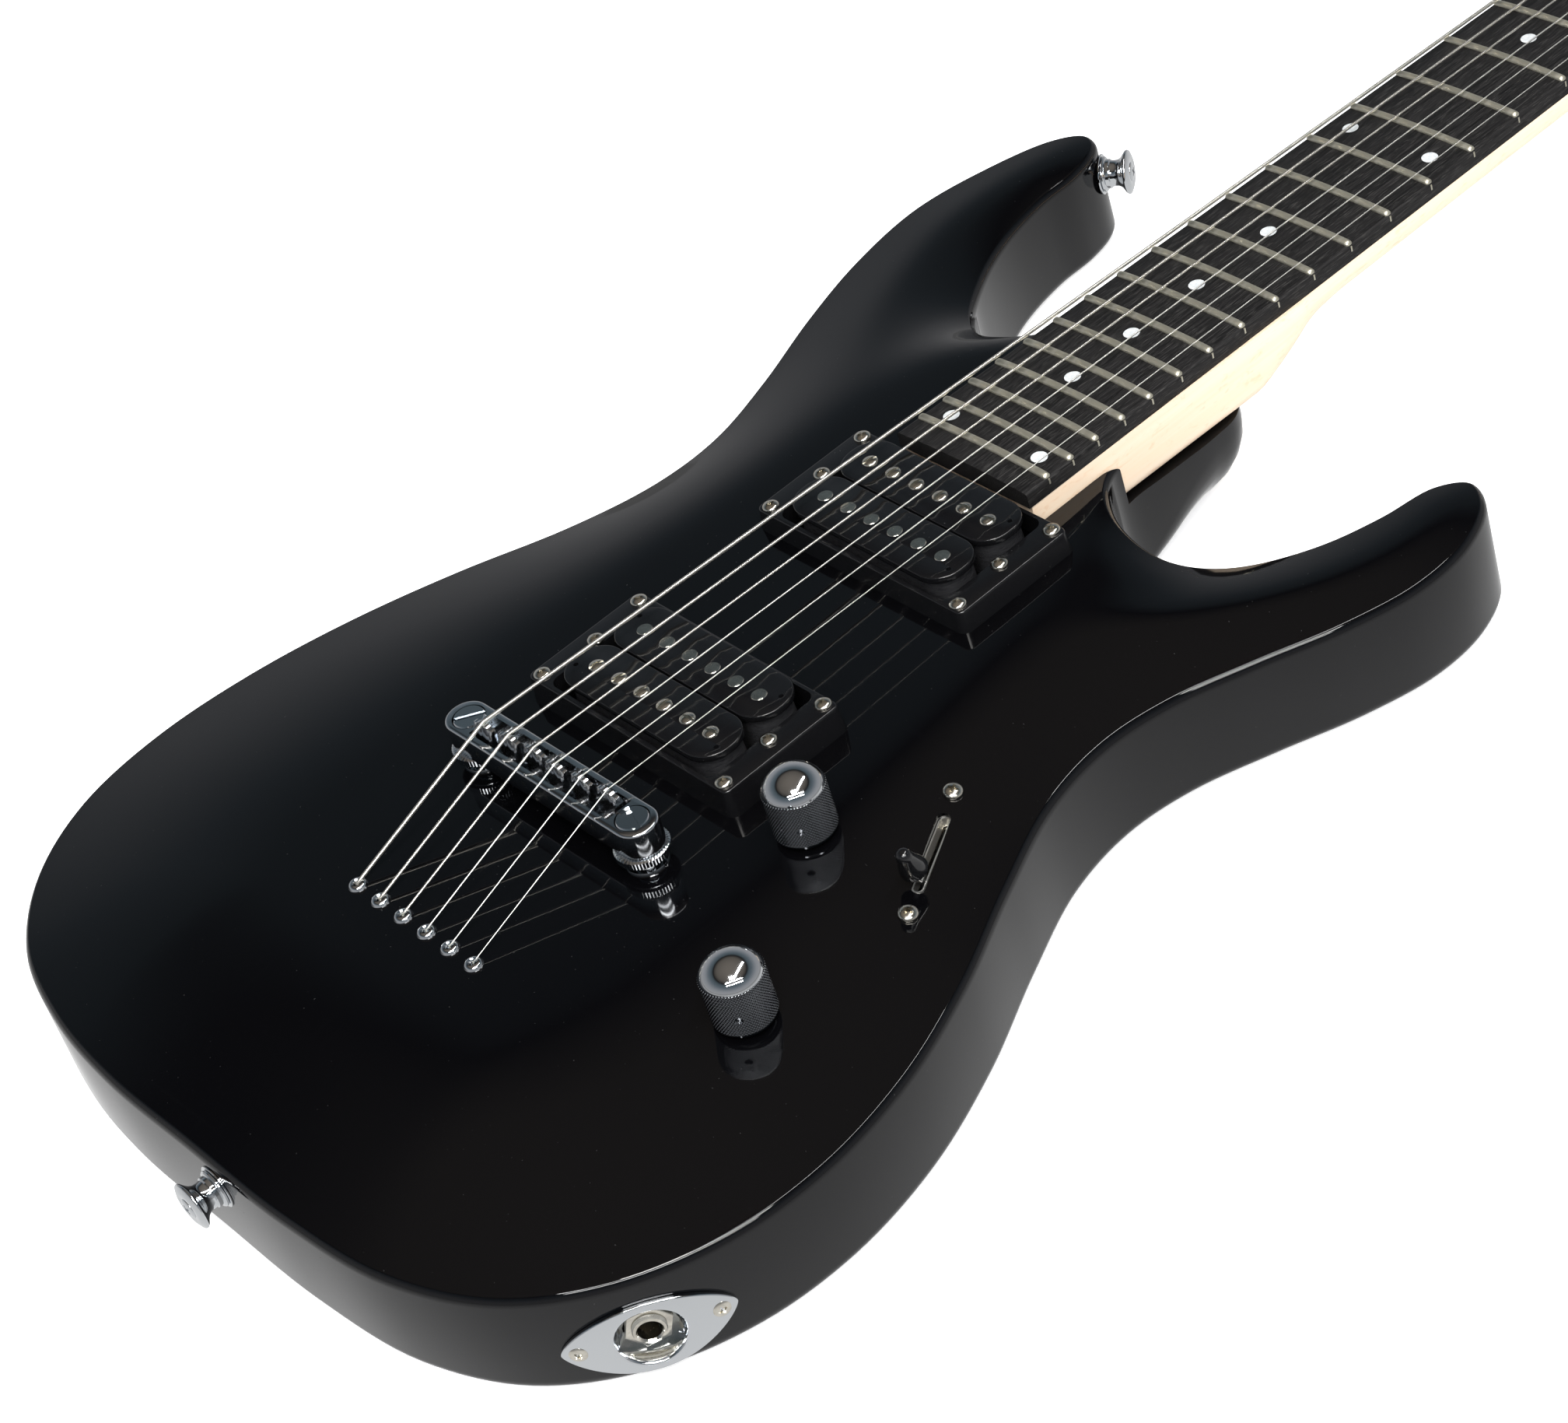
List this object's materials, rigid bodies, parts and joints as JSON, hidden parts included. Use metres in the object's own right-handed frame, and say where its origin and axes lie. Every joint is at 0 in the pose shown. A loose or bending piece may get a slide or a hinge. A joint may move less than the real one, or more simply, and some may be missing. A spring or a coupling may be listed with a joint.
{
  "type": "electric guitar",
  "caption": "Electric guitar with an arched black body, bolt-on maple neck, open pickups in rings, post-mounted bridge, strings through the body and domed knobs",
  "frame": {"origin": "on the flat back of the body, on the centreline, straight under the bridge line", "axes": "+X to the treble side, +Y from the bridge to the headstock, +Z out of the top of the guitar"},
  "size_m": [0.2975, 0.9947, 0.0672],
  "materials": {
    "black_lacquer": "high-gloss black lacquer over solid wood",
    "maple": "satin clear finish over pale maple",
    "dark_wood": "bare oiled dark wood",
    "nickel": "polished fret wire",
    "chrome": "bright chrome plating",
    "black_plastic": "glossy moulded black plastic",
    "bone": "polished bone-like nut material",
    "steel": "plain and plated steel"
  },
  "bodies": {
    "guitar": {"body": "black_lacquer", "neck": "maple", "fretboard": "dark_wood", "fret_set": "nickel", "nut": "bone", "truss_rod": "steel", "truss_rod_cover": "black_plastic", "neck_screw_1": "chrome", "neck_screw_2": "chrome", "neck_screw_3": "chrome", "neck_screw_4": "chrome", "control_cover": "black_plastic", "bridge_pickup_ring": "black_plastic", "neck_pickup_ring": "black_plastic", "jack_plate": "chrome", "jack_socket": "chrome", "tail_strap_button": "chrome", "horn_strap_button": "chrome", "volume_pot": "steel", "tone_pot": "steel", "switch_frame": "steel", "tuner_housing_1": "chrome", "string_1": "steel", "tuner_housing_2": "chrome", "string_2": "steel", "tuner_housing_3": "chrome", "string_3": "steel", "tuner_housing_4": "chrome", "string_4": "steel", "tuner_housing_5": "chrome", "string_5": "steel", "tuner_housing_6": "chrome", "string_6": "steel"},
    "volume_knob": {"volume_knob": "chrome"},
    "tone_knob": {"tone_knob": "chrome"},
    "switch": {"switch_lever": "steel", "switch_tip": "black_plastic"},
    "bridge": {"bridge_frame": "chrome"},
    "stud_bass": {"bridge_stud_bass": "chrome"},
    "stud_treble": {"bridge_stud_treble": "chrome"},
    "bridge_pickup": {"bridge_pickup": "black_plastic"},
    "neck_pickup": {"neck_pickup": "black_plastic"},
    "saddle_1": {"saddle_1": "chrome"},
    "key_1": {"tuner_key_1": "chrome"},
    "post_1": {"tuner_post_1": "chrome"},
    "saddle_2": {"saddle_2": "chrome"},
    "key_2": {"tuner_key_2": "chrome"},
    "post_2": {"tuner_post_2": "chrome"},
    "saddle_3": {"saddle_3": "chrome"},
    "key_3": {"tuner_key_3": "chrome"},
    "post_3": {"tuner_post_3": "chrome"},
    "saddle_4": {"saddle_4": "chrome"},
    "key_4": {"tuner_key_4": "chrome"},
    "post_4": {"tuner_post_4": "chrome"},
    "saddle_5": {"saddle_5": "chrome"},
    "key_5": {"tuner_key_5": "chrome"},
    "post_5": {"tuner_post_5": "chrome"},
    "saddle_6": {"saddle_6": "chrome"},
    "key_6": {"tuner_key_6": "chrome"},
    "post_6": {"tuner_post_6": "chrome"}
  },
  "joints": [
    {"name": "volume_turn", "type": "hinge", "parent": "guitar", "child": "volume_knob", "pos_m": [0.0656, 0.0309, 0.045], "axis": [0, 0, 1], "range_deg": [0, 270]},
    {"name": "tone_turn", "type": "hinge", "parent": "guitar", "child": "tone_knob", "pos_m": [0.102, -0.0235, 0.045], "axis": [0, 0, 1], "range_deg": [0, 270]},
    {"name": "switch_tilt", "type": "hinge", "parent": "guitar", "child": "switch", "pos_m": [0.0965, 0.0465, 0.018], "axis": [0.862, 0.507, 0], "range_deg": [-44, 0]},
    {"name": "bridge_height", "type": "slide", "parent": "guitar", "child": "bridge", "axis": [0, 0, 1], "range_m": [-0.002, 0.002], "deforming": ["string_1", "string_2", "string_3", "string_4", "string_5", "string_6"]},
    {"name": "stud_bass_turn", "type": "hinge", "parent": "bridge", "child": "stud_bass", "pos_m": [-0.0365, -0.002, 0.05], "axis": [0, 0, 1], "range_deg": [-580, 580]},
    {"name": "stud_treble_turn", "type": "hinge", "parent": "bridge", "child": "stud_treble", "pos_m": [0.0365, -0.002, 0.05], "axis": [0, 0, 1], "range_deg": [-580, 580]},
    {"name": "saddle_1_intonation", "type": "slide", "parent": "bridge", "child": "saddle_1", "axis": [0, 1, 0], "range_m": [-0.0007, 0.0035], "deforming": ["string_1"]},
    {"name": "saddle_2_intonation", "type": "slide", "parent": "bridge", "child": "saddle_2", "axis": [0, 1, 0], "range_m": [-0.0015, 0.0027], "deforming": ["string_2"]},
    {"name": "saddle_3_intonation", "type": "slide", "parent": "bridge", "child": "saddle_3", "axis": [0, 1, 0], "range_m": [-0.0023, 0.0019], "deforming": ["string_3"]},
    {"name": "saddle_4_intonation", "type": "slide", "parent": "bridge", "child": "saddle_4", "axis": [0, 1, 0], "range_m": [-0.0017, 0.0025], "deforming": ["string_4"]},
    {"name": "saddle_5_intonation", "type": "slide", "parent": "bridge", "child": "saddle_5", "axis": [0, 1, 0], "range_m": [-0.0025, 0.0017], "deforming": ["string_5"]},
    {"name": "saddle_6_intonation", "type": "slide", "parent": "bridge", "child": "saddle_6", "axis": [0, 1, 0], "range_m": [-0.0033, 0.0009], "deforming": ["string_6"]},
    {"name": "bridge_pickup_height", "type": "slide", "parent": "guitar", "child": "bridge_pickup", "axis": [0, 0, 1], "range_m": [-0.002, 0.002]},
    {"name": "neck_pickup_height", "type": "slide", "parent": "guitar", "child": "neck_pickup", "axis": [0, 0, 1], "range_m": [-0.002, 0.002]},
    {"name": "key_1_turn", "type": "hinge", "parent": "guitar", "child": "key_1", "pos_m": [-0.03674, 0.6787, 0.01732], "axis": [-0.963, 0.2696, -0.0059], "continuous": true},
    {"name": "post_1_turn", "type": "hinge", "parent": "guitar", "child": "post_1", "pos_m": [-0.0207, 0.68233, 0.02324], "axis": [0, 0.022, 0.9998], "continuous": true},
    {"name": "key_2_turn", "type": "hinge", "parent": "guitar", "child": "key_2", "pos_m": [-0.02974, 0.70369, 0.01677], "axis": [-0.963, 0.2696, -0.0059], "continuous": true},
    {"name": "post_2_turn", "type": "hinge", "parent": "guitar", "child": "post_2", "pos_m": [-0.0137, 0.70733, 0.02269], "axis": [0, 0.022, 0.9998], "continuous": true},
    {"name": "key_3_turn", "type": "hinge", "parent": "guitar", "child": "key_3", "pos_m": [-0.02274, 0.72869, 0.01622], "axis": [-0.963, 0.2696, -0.0059], "continuous": true},
    {"name": "post_3_turn", "type": "hinge", "parent": "guitar", "child": "post_3", "pos_m": [-0.0067, 0.73232, 0.02214], "axis": [0, 0.022, 0.9998], "continuous": true},
    {"name": "key_4_turn", "type": "hinge", "parent": "guitar", "child": "key_4", "pos_m": [-0.01574, 0.75368, 0.01567], "axis": [-0.963, 0.2696, -0.0059], "continuous": true},
    {"name": "post_4_turn", "type": "hinge", "parent": "guitar", "child": "post_4", "pos_m": [0.0003, 0.75731, 0.02159], "axis": [0, 0.022, 0.9998], "continuous": true},
    {"name": "key_5_turn", "type": "hinge", "parent": "guitar", "child": "key_5", "pos_m": [-0.00874, 0.77867, 0.01512], "axis": [-0.963, 0.2696, -0.0059], "continuous": true},
    {"name": "post_5_turn", "type": "hinge", "parent": "guitar", "child": "post_5", "pos_m": [0.0073, 0.78231, 0.02104], "axis": [0, 0.022, 0.9998], "continuous": true},
    {"name": "key_6_turn", "type": "hinge", "parent": "guitar", "child": "key_6", "pos_m": [-0.00174, 0.80367, 0.01457], "axis": [-0.963, 0.2696, -0.0059], "continuous": true},
    {"name": "post_6_turn", "type": "hinge", "parent": "guitar", "child": "post_6", "pos_m": [0.0143, 0.8073, 0.02049], "axis": [0, 0.022, 0.9998], "continuous": true}
  ],
  "couplings": [
    {"joint": "stud_bass_turn", "follows": "bridge_height", "rad_per_m": 5026.5},
    {"joint": "stud_treble_turn", "follows": "bridge_height", "rad_per_m": 5026.5},
    {"joint": "post_1_turn", "follows": "key_1_turn", "ratio": 0.066667},
    {"joint": "post_2_turn", "follows": "key_2_turn", "ratio": 0.066667},
    {"joint": "post_3_turn", "follows": "key_3_turn", "ratio": 0.066667},
    {"joint": "post_4_turn", "follows": "key_4_turn", "ratio": 0.066667},
    {"joint": "post_5_turn", "follows": "key_5_turn", "ratio": 0.066667},
    {"joint": "post_6_turn", "follows": "key_6_turn", "ratio": 0.066667}
  ]
}
